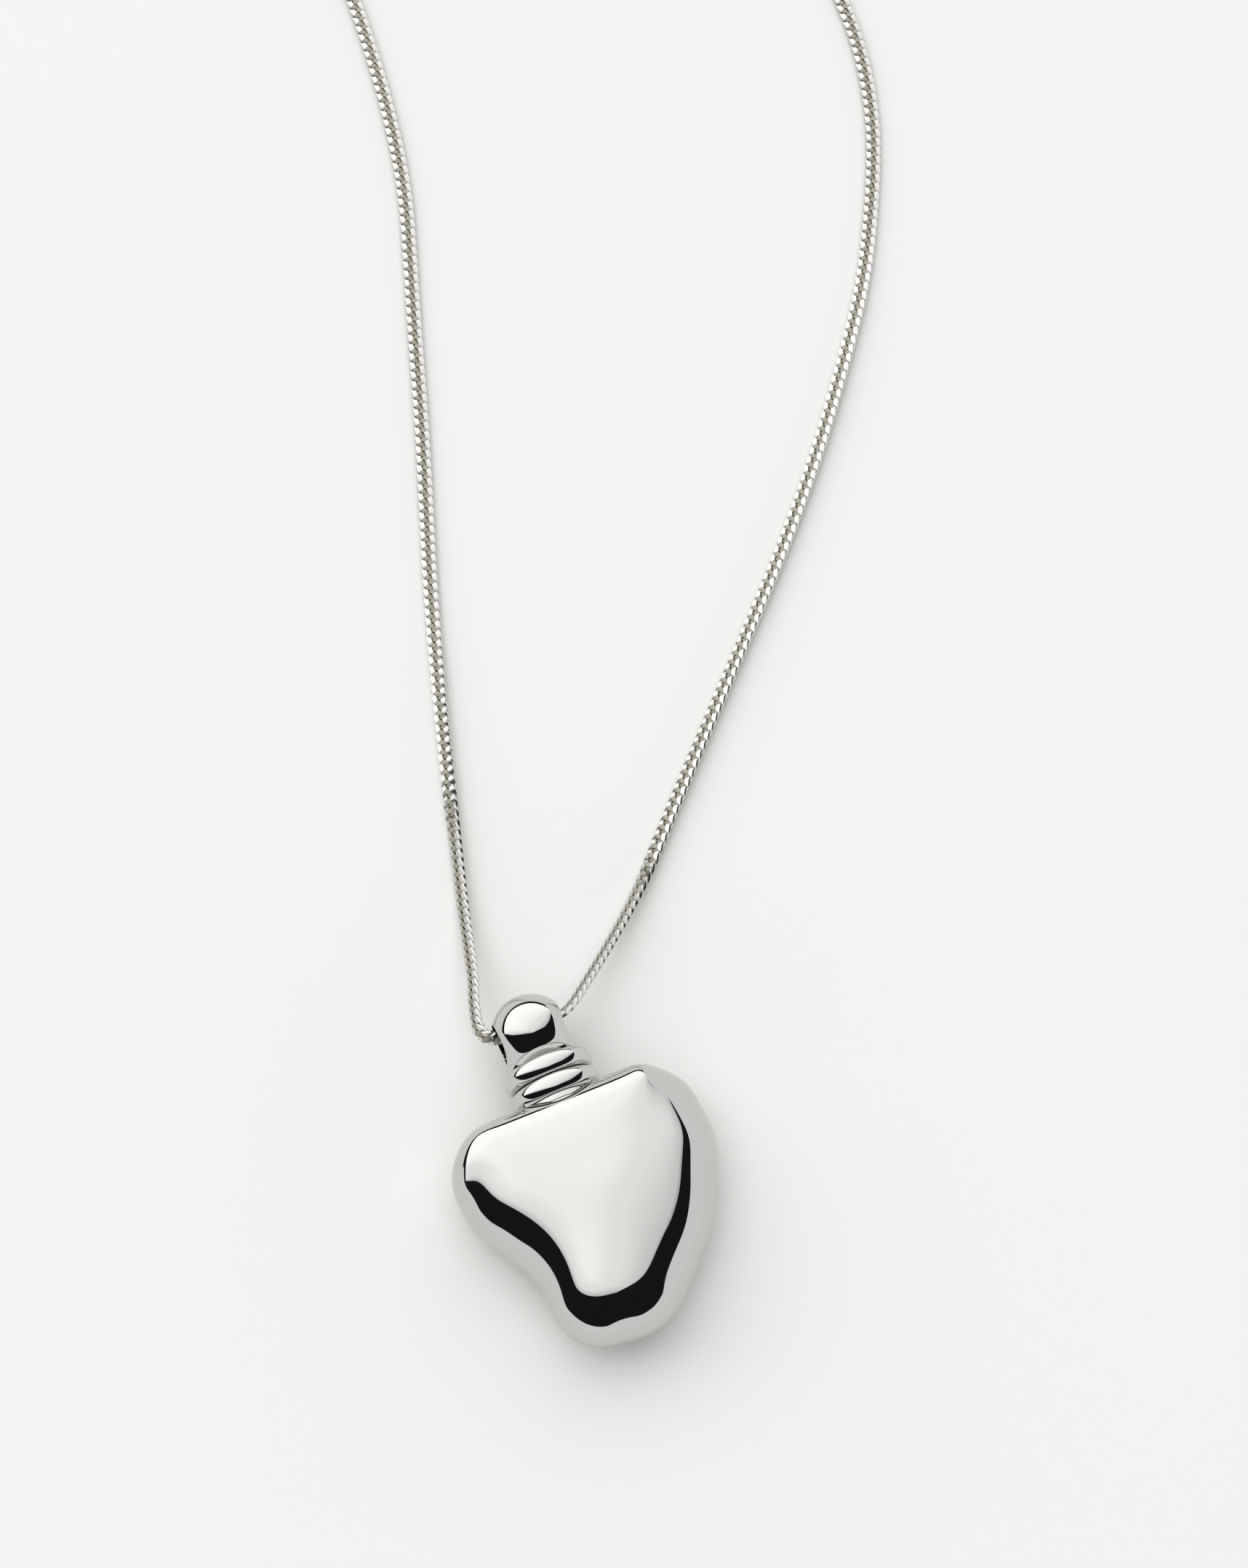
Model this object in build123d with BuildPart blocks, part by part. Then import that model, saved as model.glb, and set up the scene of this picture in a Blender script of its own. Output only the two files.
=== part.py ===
"""Flask pendant on a curb chain, in millimetres.

The pendant lies on its back on z = 0 with its front face up (+Z). Its stopper points along +Y. The origin
is under the middle of the pendant. The chain leaves the cross hole of the stopper's dome on both sides,
comes down to the surface, and runs on to a lobster clasp and an extender.
"""

from build123d import *
import os
from math import pi, radians, sin, tan

# ---- driving dimensions -------------------------------------------------------------------------
THICK = 8.4  # flask, back to front
MID_Z = THICK / 2  # height of the stopper's axis and of the seam between the two shells
AXIS_X = 0.19  # the stopper's axis, a little to the right of the flask's middle
GROOVE_Y = 9.8  # foot of the dome, the reference of the stopper's heights

WALL = 0.8  # wall of the stamped shells
EDGE_R = 3.6  # rounding of the flask's edge
CAVITY_R = EDGE_R - WALL

# the flask's outline: corners of the polygon and the radius of each rounded corner
OUTLINE = [
    (-12.0, 6.25, 5.0),  # left shoulder
    (-11.15, -2.3, 6.5),  # left flank
    (-7.6, -8.1, 8.0),  # waist, the one hollow corner
    (-7.55, -15.4, 4.5),  # foot, left
    (1.4, -16.35, 6.0),  # foot, right
    (8.8, -8.85, 16.0),  # right flank
    (11.6, -2.2, 7.5),  # hip
    (10.85, 6.25, 4.8),  # right shoulder
]

DOME_R = 3.55
DOME_FOOT_R = 3.2
DOME_WAIST = 2.75  # height of the dome's widest place above its foot
DOME_TOP = DOME_WAIST + DOME_R
HOLE_LOW = 0.4  # the cross hole, above the dome's foot
HOLE_TALL = 4.35
HOLE_WIDE = 4.2
BALL_H = 2.2  # below this height the dome's front and back curve in like a ball
BALL_LONG = 2.9  # the ball's half length along the axis

BEAD_R = 4.05  # both collar beads
BEAD_ROUND = 0.85
UPPER_BEAD = 1.95
PARTING = -2.0  # where the stopper leaves the flask, from the dome's foot
NECK_TOP = -2.55  # top of the threaded sleeve, under the washer
BEAD_FOOT = -3.45
SEAT_R = 3.7
SEAT_FOOT = -5.4
SLEEVE_R = 2.2
SLEEVE_FOOT = -6.2
STUD_R = 1.0
STUD_FOOT = -5.2
RUN_CLEAR = 0.06  # radial running clearance of the stud
WASHER_R = 2.1
WASHER_THICK = 0.5

CHAIN_D = 1.5  # the curb chain's width
CHAIN_REST = CHAIN_D / 2
EXIT_Y = 13.6  # the chain's line through the cross hole

CLASP_Y = 190.5  # the clasp's long axis runs along X at this y
CLASP_Z = 1.8
CLASP_X = 40.75  # middle of the clasp's opening
CHAIN_LEFT_END = 34.0
CHAIN_RIGHT_END = 47.5

BODY_THICK = 1.9
HOOK_THICK = 0.84
EYE_X = -4.4  # the eye's hole, from the middle of the opening
EYE_R = 0.7
EYE_BAND = 0.55
EYE_THICK = 0.8
PIVOT = (-2.05, -1.65)
PIN_R = 0.3
PIN_CLEAR = 0.04
SLOT_THICK = 1.4
LEVER_THICK = 0.9

LINK_R = 1.3  # extender links: ring radius and wire radius
LINK_WIRE = 0.28
LINK_PITCH = 1.95
LINKS = 19
LINK_REST = LINK_R * sin(radians(45)) + LINK_WIRE  # a link lies leaning at 45 degrees

# the chain's route out of each side of the stopper, x, y, z
LEFT_ROUTE = [
    (AXIS_X, EXIT_Y, MID_Z),
    (-1.4, 13.55, MID_Z),
    (-3.35, 13.75, 4.2),
    (-4.75, 15.2, 4.0),
    (-4.25, 18.3, 3.2),
    (-2.1, 23.3, 1.55),
    (0.2, 30.0, CHAIN_REST),
    (2.8, 39.6, CHAIN_REST),
    (7.1, 54.2, CHAIN_REST),
    (13.1, 71.4, CHAIN_REST),
    (19.1, 89.6, CHAIN_REST),
    (22.8, 104.6, CHAIN_REST),
    (24.2, 119.5, CHAIN_REST),
    (22.0, 135.0, CHAIN_REST),
    (17.9, 150.0, CHAIN_REST),
    (15.9, 165.0, CHAIN_REST),
    (18.4, 178.0, CHAIN_REST),
    (25.2, 187.2, CHAIN_REST),
    (CHAIN_LEFT_END, CLASP_Y, CLASP_Z),
]
RIGHT_ROUTE = [
    (AXIS_X, EXIT_Y, MID_Z),
    (1.78, 13.65, MID_Z),
    (3.8, 13.6, 4.2),
    (5.8, 14.8, 3.7),
    (8.6, 17.1, 2.4),
    (12.5, 20.4, 1.15),
    (17.6, 25.7, CHAIN_REST),
    (24.9, 33.2, CHAIN_REST),
    (34.8, 43.1, CHAIN_REST),
    (44.8, 54.1, CHAIN_REST),
    (53.6, 65.2, CHAIN_REST),
    (60.3, 75.9, CHAIN_REST),
    (65.3, 87.4, CHAIN_REST),
    (67.3, 99.6, CHAIN_REST),
    (67.2, 112.5, CHAIN_REST),
    (70.6, 127.5, CHAIN_REST),
    (75.6, 142.5, CHAIN_REST),
    (77.4, 158.0, CHAIN_REST),
    (73.9, 172.5, CHAIN_REST),
    (66.4, 183.4, CHAIN_REST),
    (56.6, 189.6, CHAIN_REST),
    (CHAIN_RIGHT_END, CLASP_Y, CLASP_Z),
]

STOPPER_AXIS = Axis((AXIS_X, 0, MID_Z), (0, 1, 0))
MID_PLANE = Plane.XY.offset(MID_Z)


def save(builder, name):
    """Labels a finished piece and writes its STEP file."""
    builder.part.label = name
    export_step(builder.part, f"parts/{name}.step")


def across(y, size, low, high):
    """A ring profile on one side of the stopper's axis, from radius low to high, size tall from y upwards."""
    with Locations((AXIS_X + (low + high) / 2, y + size / 2)):
        Rectangle(high - low, size)


def pebble(inset, edge):
    """A solid of the flask's outline, inset on every side, with its front and back edges rounded."""
    with BuildPart() as shape:
        with BuildSketch(Plane.XY.offset(inset)):
            with BuildLine():
                FilletPolyline(*[(x, y) for x, y, r in OUTLINE], radius=[r for x, y, r in OUTLINE], close=True)
            make_face()
            if inset:
                offset(amount=-inset)
        extrude(amount=THICK - 2 * inset)
        fillet(faces().group_by(Axis.Z)[0].edges() + faces().group_by(Axis.Z)[-1].edges(), radius=edge)
    return shape.part


def angle_of(a, b, c):
    """The turn at point b, in degrees."""
    return (Vector(*b) - Vector(*a)).get_angle(Vector(*c) - Vector(*b))


def arc_radii(route):
    """The largest radius that each corner of a route can take."""
    radii = []
    for a, b, c in zip(route, route[1:], route[2:]):
        run = min((Vector(*b) - Vector(*a)).length, (Vector(*c) - Vector(*b)).length)
        radii.append(0.45 * run / tan(radians(angle_of(a, b, c)) / 2))
    return radii


def ring(radius, wire):
    """A closed ring of round wire in the current location, its hole along the location's Z."""
    Torus(radius, wire)


os.makedirs("parts", exist_ok=True)

# ---- flask --------------------------------------------------------------------------------------
flask_solid = pebble(0, EDGE_R)
cavity = pebble(WALL, CAVITY_R)

with BuildPart() as flask_back:
    add(flask_solid)
    add(cavity, mode=Mode.SUBTRACT)
    with BuildSketch(MID_PLANE):
        across(GROOVE_Y + SLEEVE_FOOT, THICK, 0, SLEEVE_R)
    revolve(axis=STOPPER_AXIS, mode=Mode.SUBTRACT)
    split(bisect_by=MID_PLANE, keep=Keep.BOTTOM)
save(flask_back, "flask_back")

with BuildPart() as flask_front:
    add(flask_solid)
    add(cavity, mode=Mode.SUBTRACT)
    with BuildSketch(MID_PLANE):
        across(GROOVE_Y + SLEEVE_FOOT, THICK, 0, SLEEVE_R)
    revolve(axis=STOPPER_AXIS, mode=Mode.SUBTRACT)
    split(bisect_by=MID_PLANE, keep=Keep.TOP)
save(flask_front, "flask_front")

with BuildPart() as neck_sleeve:
    with BuildSketch(MID_PLANE):
        across(GROOVE_Y + SLEEVE_FOOT, NECK_TOP - SLEEVE_FOOT, STUD_R + RUN_CLEAR, SLEEVE_R)
    revolve(axis=STOPPER_AXIS)
save(neck_sleeve, "neck_sleeve")

with BuildPart() as neck_seat:
    with BuildSketch(MID_PLANE):
        across(GROOVE_Y + SEAT_FOOT, BEAD_FOOT - SEAT_FOOT, SLEEVE_R, SEAT_R)
    revolve(axis=STOPPER_AXIS)
    add(flask_solid, mode=Mode.SUBTRACT)
save(neck_seat, "neck_seat")

with BuildPart() as neck_bead:
    with BuildSketch(MID_PLANE) as bead_profile:
        across(GROOVE_Y + BEAD_FOOT, PARTING - BEAD_FOOT, SLEEVE_R, BEAD_R)
        fillet(bead_profile.vertices().group_by(Axis.X)[-1], radius=0.7)
    revolve(axis=STOPPER_AXIS)
save(neck_bead, "neck_bead")

with BuildPart() as seal_washer:
    with BuildSketch(MID_PLANE):
        across(GROOVE_Y + PARTING - WASHER_THICK, WASHER_THICK, STUD_R + RUN_CLEAR, WASHER_R)
    revolve(axis=STOPPER_AXIS)
save(seal_washer, "seal_washer")

# ---- stopper ------------------------------------------------------------------------------------
with BuildPart() as stopper_dome:
    with BuildSketch(MID_PLANE):
        with BuildLine():
            foot = Line((AXIS_X, GROOVE_Y), (AXIS_X + DOME_FOOT_R, GROOVE_Y))
            flank = ThreePointArc(foot @ 1, (AXIS_X + 3.46, GROOVE_Y + 1.4), (AXIS_X + DOME_R, GROOVE_Y + DOME_WAIST))
            crown = RadiusArc(flank @ 1, (AXIS_X, GROOVE_Y + DOME_TOP), -DOME_R)
            Line(crown @ 1, foot @ 0)
        make_face()
    revolve(axis=STOPPER_AXIS)
    with BuildSketch(Plane.YZ.offset(AXIS_X - DOME_R - 1)):
        with Locations((GROOVE_Y + BALL_H, MID_Z)):
            Ellipse(BALL_LONG, DOME_R + 0.05)
            Rectangle(2 * DOME_R, 2 * DOME_R + 1, align=(Align.MIN, Align.CENTER))
    extrude(amount=2 * DOME_R + 2, mode=Mode.INTERSECT)
    with BuildSketch(Plane.YZ.offset(AXIS_X)):
        with Locations((GROOVE_Y + HOLE_LOW + HOLE_TALL / 2, MID_Z)):
            SlotOverall(HOLE_TALL, HOLE_WIDE)
    extrude(amount=2 * DOME_R, both=True, mode=Mode.SUBTRACT)
save(stopper_dome, "stopper_dome")

with BuildPart() as stopper_bead:
    with BuildSketch(MID_PLANE) as bead_profile:
        across(GROOVE_Y - UPPER_BEAD, UPPER_BEAD, STUD_R, BEAD_R)
        fillet(bead_profile.vertices().group_by(Axis.X)[-1], radius=BEAD_ROUND)
    revolve(axis=STOPPER_AXIS)
save(stopper_bead, "stopper_bead")

with BuildPart() as stopper_stud:
    with BuildSketch(MID_PLANE):
        across(GROOVE_Y + STUD_FOOT, -STUD_FOOT, 0, STUD_R)
    revolve(axis=STOPPER_AXIS)
save(stopper_stud, "stopper_stud")

# ---- chain --------------------------------------------------------------------------------------
for name, route in (("chain_left", LEFT_ROUTE), ("chain_right", RIGHT_ROUTE)):
    radii = arc_radii(route)
    with BuildPart() as chain:
        with BuildLine() as line:
            FilletPolyline(*route, radius=radii)
        start = line.wires()[0]
        with BuildSketch(Plane(origin=start @ 0, z_dir=start % 0)):
            Circle(CHAIN_D / 2)
        sweep()
    save(chain, name)
    ideal = pi * CHAIN_D**2 / 4 * start.length
    print(name, "length", round(start.length, 2), "volume ratio", round(chain.part.volume / ideal, 4))
    print("  radii", [round(r, 1) for r in radii])
    print("  runs", [round((Vector(*b) - Vector(*a)).length, 1) for a, b in zip(route, route[1:])])
    print("  turns", [round(angle_of(a, b, c), 1) for a, b, c in zip(route, route[1:], route[2:])])

# ---- rings at the clasp -------------------------------------------------------------------------
STANDING = (90, 0, 0)  # a ring that stands on its edge, its hole along Y
RING_SET = {
    "end_ring_left": (34.9, 1.2, 0.25, STANDING),
    "clasp_ring": (44.3, 1.55, 0.27, STANDING),
    "end_ring_right": (46.35, 1.35, 0.26, (0, 0, 0)),
}
for name, (x, radius, wire, turn) in RING_SET.items():
    with BuildPart() as loop:
        with Locations(Location((x, CLASP_Y, CLASP_Z), turn)):
            ring(radius, wire)
    save(loop, name)

# ---- lobster clasp ------------------------------------------------------------------------------
CLASP_PLANE = Plane((CLASP_X, CLASP_Y, CLASP_Z))
CLASP_LONG, CLASP_WIDE = 7.2, 5.0  # the clasp's loop, outside
LOOP_LONG, LOOP_WIDE = 4.8, 2.6  # and its opening
PAST_LOOP = 6.0  # a cutter that reaches past the loop
HOOK_SPLIT = 4.7  # the thick body and the thin hook meet a little past the middle
MOUTH = (0.2, -2.0)
MOUTH_SIZE = (2.6, 2.0)
SLOT_MIDDLE = (-1.4, -1.7)  # the slot in which the lever turns
SLOT_SIZE = (1.3, 2.2)
SLOT_R = 0.8
LEVER_HUB_R = 0.62
LEVER_MIDDLE = (-0.35, -1.85)
LEVER_SIZE = (3.4, 0.9)
THUMB_MIDDLE = (-0.5, -2.45)
THUMB_R = 0.6
SPRING_R = 0.5
SPRING_WIRE = 0.1
SPRING_OVER = 0.575  # the spring lies beside the lever, in the slot
with BuildPart() as clasp_body:
    with BuildSketch(CLASP_PLANE):
        SlotOverall(CLASP_LONG, CLASP_WIDE)
        SlotOverall(LOOP_LONG, LOOP_WIDE, mode=Mode.SUBTRACT)
        with Locations((LOOP_LONG / 2, 0)):
            Rectangle(LOOP_LONG, PAST_LOOP, mode=Mode.SUBTRACT)
    extrude(amount=BODY_THICK / 2, both=True)
    with BuildSketch(CLASP_PLANE):
        SlotOverall(CLASP_LONG, CLASP_WIDE)
        SlotOverall(LOOP_LONG, LOOP_WIDE, mode=Mode.SUBTRACT)
        with Locations((-LOOP_LONG / 2, 0)):
            Rectangle(HOOK_SPLIT, PAST_LOOP, mode=Mode.SUBTRACT)
    extrude(amount=HOOK_THICK / 2, both=True)
    with BuildSketch(CLASP_PLANE):
        with Locations((EYE_X, 0)):
            Circle(EYE_R + EYE_BAND)
    extrude(amount=EYE_THICK / 2, both=True)
    with BuildSketch(CLASP_PLANE):
        with Locations((EYE_X, 0)):
            Circle(EYE_R)
    extrude(amount=BODY_THICK, both=True, mode=Mode.SUBTRACT)
    with BuildSketch(CLASP_PLANE):
        with Locations(MOUTH):
            Rectangle(*MOUTH_SIZE)
    extrude(amount=BODY_THICK, both=True, mode=Mode.SUBTRACT)
    with BuildSketch(CLASP_PLANE):
        with Locations(PIVOT):
            Circle(SLOT_R)
        with Locations(SLOT_MIDDLE):
            Rectangle(*SLOT_SIZE)
    extrude(amount=SLOT_THICK / 2, both=True, mode=Mode.SUBTRACT)
    with BuildSketch(CLASP_PLANE):
        with Locations(PIVOT):
            Circle(PIN_R)
    extrude(amount=BODY_THICK, both=True, mode=Mode.SUBTRACT)
save(clasp_body, "clasp_body")

with BuildPart() as clasp_lever:
    with BuildSketch(CLASP_PLANE):
        with Locations(PIVOT):
            Circle(LEVER_HUB_R)
        with Locations(LEVER_MIDDLE):
            Rectangle(*LEVER_SIZE)
        with Locations(THUMB_MIDDLE):
            Circle(THUMB_R)
        with Locations(PIVOT):
            Circle(PIN_R + PIN_CLEAR, mode=Mode.SUBTRACT)
    extrude(amount=LEVER_THICK / 2, both=True)
save(clasp_lever, "clasp_lever")

with BuildPart() as clasp_pin:
    with BuildSketch(CLASP_PLANE):
        with Locations(PIVOT):
            Circle(PIN_R)
    extrude(amount=BODY_THICK / 2, both=True)
save(clasp_pin, "clasp_pin")

with BuildPart() as clasp_spring:
    with Locations((CLASP_X + PIVOT[0], CLASP_Y + PIVOT[1], CLASP_Z + SPRING_OVER)):
        ring(SPRING_R, SPRING_WIRE)
save(clasp_spring, "clasp_spring")

# ---- extender and tag ---------------------------------------------------------------------------
FIRST_LINK_Y = CLASP_Y - 0.62 - LINK_R
LINK_X = 46.35
DRIFT = -0.12  # the extender drifts a little sideways, link by link


def link_place(i):
    """Where link i of the extender lies, and how it leans."""
    height = max(CLASP_Z - 0.2 * i, LINK_REST)
    lean = 45 if i % 2 else -45
    return Location((LINK_X + DRIFT * i, FIRST_LINK_Y - LINK_PITCH * i, height), (0, lean, 0))


with BuildPart() as extender_first_link:
    with Locations(link_place(0)):
        ring(LINK_R, LINK_WIRE)
save(extender_first_link, "extender_first_link")

with BuildPart() as extender_links:
    for i in range(1, LINKS):
        with Locations(link_place(i)):
            ring(LINK_R, LINK_WIRE)
save(extender_links, "extender_links")

# the tag hangs on a larger ring, which leans on the last link
TAG_RING_R = 1.6
TAG_LONG = 8.0
TAG_WIDE = 4.4
TAG_THICK = 0.5
TAG_HOLE_R = 0.9
TAG_RIM = 1.45  # from the middle of the tag's hole to its near end
TAG_LEAN = 7.0
last_link = link_place(LINKS - 1).position
tag_ring_y = last_link.Y - LINK_R - TAG_RING_R + 0.65
tag_ring_z = TAG_RING_R * sin(radians(45)) + LINK_WIRE
with BuildPart() as tag_ring:
    with Locations(Location((last_link.X, tag_ring_y, tag_ring_z), (0, 45, 0))):
        ring(TAG_RING_R, LINK_WIRE)
save(tag_ring, "tag_ring")

TAG_PLANE = Plane((last_link.X, tag_ring_y - TAG_RING_R, tag_ring_z)).rotated((TAG_LEAN, 0, 0))
with BuildPart() as tag:
    with BuildSketch(TAG_PLANE):
        with Locations((0, TAG_RIM - TAG_LONG / 2)):
            Ellipse(TAG_WIDE / 2, TAG_LONG / 2)
        Circle(TAG_HOLE_R, mode=Mode.SUBTRACT)
    extrude(amount=TAG_THICK / 2, both=True)
save(tag, "tag")

for piece in (flask_back, flask_front, neck_seat, stopper_dome, clasp_body, tag, extender_links):
    size = piece.part.bounding_box()
    print(piece.part.label, len(piece.part.solids()), "solids, from", size.min, "to", size.max)
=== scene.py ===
"""Looks of a pendant necklace: a mirror-polished flask amulet hung on a filed curb chain.

The pendant lies on its back on a pale table, and the chain runs away from it in two strands to a clasp.
"""

import logging
import math
from dataclasses import dataclass
from enum import Enum

import bpy
import numpy as np
from mathutils import Matrix, Vector

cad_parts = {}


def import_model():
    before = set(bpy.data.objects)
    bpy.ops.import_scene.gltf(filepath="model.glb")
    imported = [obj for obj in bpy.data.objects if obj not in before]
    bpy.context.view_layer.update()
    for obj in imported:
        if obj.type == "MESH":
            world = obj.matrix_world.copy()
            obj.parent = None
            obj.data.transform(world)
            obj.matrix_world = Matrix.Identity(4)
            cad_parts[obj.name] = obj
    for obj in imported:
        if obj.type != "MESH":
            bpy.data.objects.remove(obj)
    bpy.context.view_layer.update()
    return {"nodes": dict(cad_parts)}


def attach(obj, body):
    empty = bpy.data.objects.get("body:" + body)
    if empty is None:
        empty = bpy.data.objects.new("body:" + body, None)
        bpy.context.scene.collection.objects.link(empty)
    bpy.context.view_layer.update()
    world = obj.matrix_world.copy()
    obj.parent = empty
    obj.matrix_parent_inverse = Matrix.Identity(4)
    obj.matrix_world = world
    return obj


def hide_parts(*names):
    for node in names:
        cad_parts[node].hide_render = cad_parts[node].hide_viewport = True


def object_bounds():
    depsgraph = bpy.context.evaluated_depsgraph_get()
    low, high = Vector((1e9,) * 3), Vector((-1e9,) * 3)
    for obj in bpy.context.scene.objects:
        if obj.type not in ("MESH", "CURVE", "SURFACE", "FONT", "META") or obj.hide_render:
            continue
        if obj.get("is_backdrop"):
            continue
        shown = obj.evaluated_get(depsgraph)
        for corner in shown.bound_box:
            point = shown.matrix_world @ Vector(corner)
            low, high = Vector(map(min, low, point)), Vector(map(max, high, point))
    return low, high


MM = 0.001
LOG = logging.getLogger("necklace")
Point = tuple[float, float, float]
Pair = tuple[float, float]

MERGE = 1e-6  # doubles closer than this, in metres, become one point
SEAM = 2e-6  # the same where two edges of a piece were made to meet
ARC_STEPS = 24  # steps along a turned bead's round
BEAD_FLATNESS = 0.86  # the beads' and collar's depth, front to back, as a share of their width

# The viewer's right and far directions on the table, for the light cards.
VIEW_RIGHT = Vector((0.9239, -0.3827, 0.0))
VIEW_FAR = Vector((0.3827, 0.9239, 0.0))


class Slot(Enum):
    """Names of material slots."""

    POLISHED = "polished_silver"
    CHAIN = "chain_silver"
    FINDINGS = "findings_silver"
    SPRING = "spring_steel"
    SEAL = "seal_rubber"


# ---------------------------------------------------------------- small helpers


def linear(hex_colour: str) -> tuple[float, float, float, float]:
    """Turns an sRGB hex colour to linear light.

    Args:
        hex_colour: six hex digits after a #.

    Returns:
        Linear red, green, blue and an alpha of 1.
    """
    channels = [int(hex_colour[i : i + 2], 16) / 255 for i in (1, 3, 5)]
    light = [c / 12.92 if c <= 0.04045 else ((c + 0.055) / 1.055) ** 2.4 for c in channels]
    return (light[0], light[1], light[2], 1.0)


def add_node(
    tree: bpy.types.NodeTree,
    kind: str,
    settings: dict | None = None,
    values: dict | None = None,
    links: dict | None = None,
) -> bpy.types.Node:
    """Adds a node with its settings, its socket values and what feeds it.

    Args:
        tree: the material's node tree.
        kind: the node's Blender type.
        settings: properties of the node.
        values: socket name or number to value.
        links: socket name or number to the output socket that feeds it.

    Returns:
        The new node.
    """
    node = tree.nodes.new(kind)
    for name, value in (settings or {}).items():
        setattr(node, name, value)
    for socket, value in (values or {}).items():
        node.inputs[socket].default_value = value
    for socket, output in (links or {}).items():
        tree.links.new(output, node.inputs[socket])
    return node


def new_material(name: str) -> tuple[bpy.types.Material, bpy.types.NodeTree]:
    """Adds a material with an empty node tree.

    Args:
        name: the finish's name.

    Returns:
        The material and its node tree.
    """
    material = bpy.data.materials.new(name)
    material.use_nodes = True
    material.node_tree.nodes.clear()
    return material, material.node_tree


def mm(point: Point) -> Vector:
    """A point given in millimetres, in metres."""
    return Vector(point) * MM


def clear_selection() -> None:
    """Leaves object mode with nothing selected and nothing active."""
    if bpy.context.object is not None and bpy.context.object.mode != "OBJECT":
        bpy.ops.object.mode_set(mode="OBJECT")
    bpy.ops.object.select_all(action="DESELECT")
    bpy.context.view_layer.objects.active = None


def pick(obj: bpy.types.Object) -> None:
    """Makes one object the only selected and active one."""
    clear_selection()
    obj.select_set(True)
    bpy.context.view_layer.objects.active = obj


def settle(obj: bpy.types.Object, name: str, angle: float = 40.0) -> bpy.types.Object:
    """Puts a finished piece's place into its mesh, merges doubles, turns faces out and smooths it.

    Args:
        obj: the piece.
        name: the piece's name.
        angle: edges sharper than this many degrees stay crisp.

    Returns:
        The same object.
    """
    pick(obj)
    obj.name = name
    obj.data.name = name
    bpy.ops.object.transform_apply(location=True, rotation=True, scale=True)
    bpy.ops.object.mode_set(mode="EDIT")
    bpy.ops.mesh.select_all(action="SELECT")
    bpy.ops.mesh.remove_doubles(threshold=MERGE)
    bpy.ops.mesh.normals_make_consistent(inside=False)
    bpy.ops.object.mode_set(mode="OBJECT")
    bpy.ops.object.shade_smooth_by_angle(angle=math.radians(angle))
    return obj


def dress(
    obj: bpy.types.Object,
    material: bpy.types.Material,
    body: str | None = None,
) -> None:
    """Gives a piece its finish and the body that it rides on.

    Args:
        obj: the piece.
        material: its finish.
        body: the CAD body, or None for a CAD node, which already rides on one.
    """
    obj.data.materials.clear()
    obj.data.materials.append(material)
    if body is not None:
        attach(obj, body)
    LOG.info("piece %s: %s", obj.name, material.name)


# ---------------------------------------------------------------- finishes


@dataclass(frozen=True)
class PolishedMetal:
    """Rhodium-plated silver, wheel-polished: a clear mirror with a faint haze in patches.

    Attributes:
        name: the finish's name.
        colour: sRGB colour of the plate.
        smoothest: roughness where the wheel cut best.
        dullest: roughness where a little compound was left.
        patch_mm: size of the hazy patches.
        ripple: height of the wheel's faint ripple, in millimetres.
        ripple_mm: distance from ripple to ripple.
    """

    name: str
    colour: str = "#CBCAC8"
    smoothest: float = 0.02
    dullest: float = 0.05
    patch_mm: float = 5.0
    ripple: float = 0.0004
    ripple_mm: float = 1.6

    def make(self) -> bpy.types.Material:
        """Builds the node material.

        Returns:
            The material.
        """
        material, tree = new_material(self.name)
        place = add_node(tree, "ShaderNodeTexCoord")
        haze = add_node(
            tree,
            "ShaderNodeTexNoise",
            values={"Scale": 1000 / self.patch_mm, "Detail": 3.0, "Roughness": 0.6},
            links={"Vector": place.outputs["Object"]},
        )
        rough = add_node(
            tree,
            "ShaderNodeMapRange",
            values={"From Min": 0.3, "From Max": 0.75, "To Min": self.smoothest, "To Max": self.dullest},
            links={"Value": haze.outputs["Fac"]},
        )
        ripple = add_node(
            tree,
            "ShaderNodeTexNoise",
            values={"Scale": 1000 / self.ripple_mm, "Detail": 1.0},
            links={"Vector": place.outputs["Object"]},
        )
        bump = add_node(
            tree,
            "ShaderNodeBump",
            values={"Strength": 0.35, "Distance": self.ripple * MM},
            links={"Height": ripple.outputs["Fac"]},
        )
        shader = add_node(
            tree,
            "ShaderNodeBsdfPrincipled",
            values={"Base Color": linear(self.colour), "Metallic": 1.0},
            links={"Roughness": rough.outputs["Result"], "Normal": bump.outputs["Normal"]},
        )
        add_node(tree, "ShaderNodeOutputMaterial", links={"Surface": shader.outputs["BSDF"]})
        return material


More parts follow.
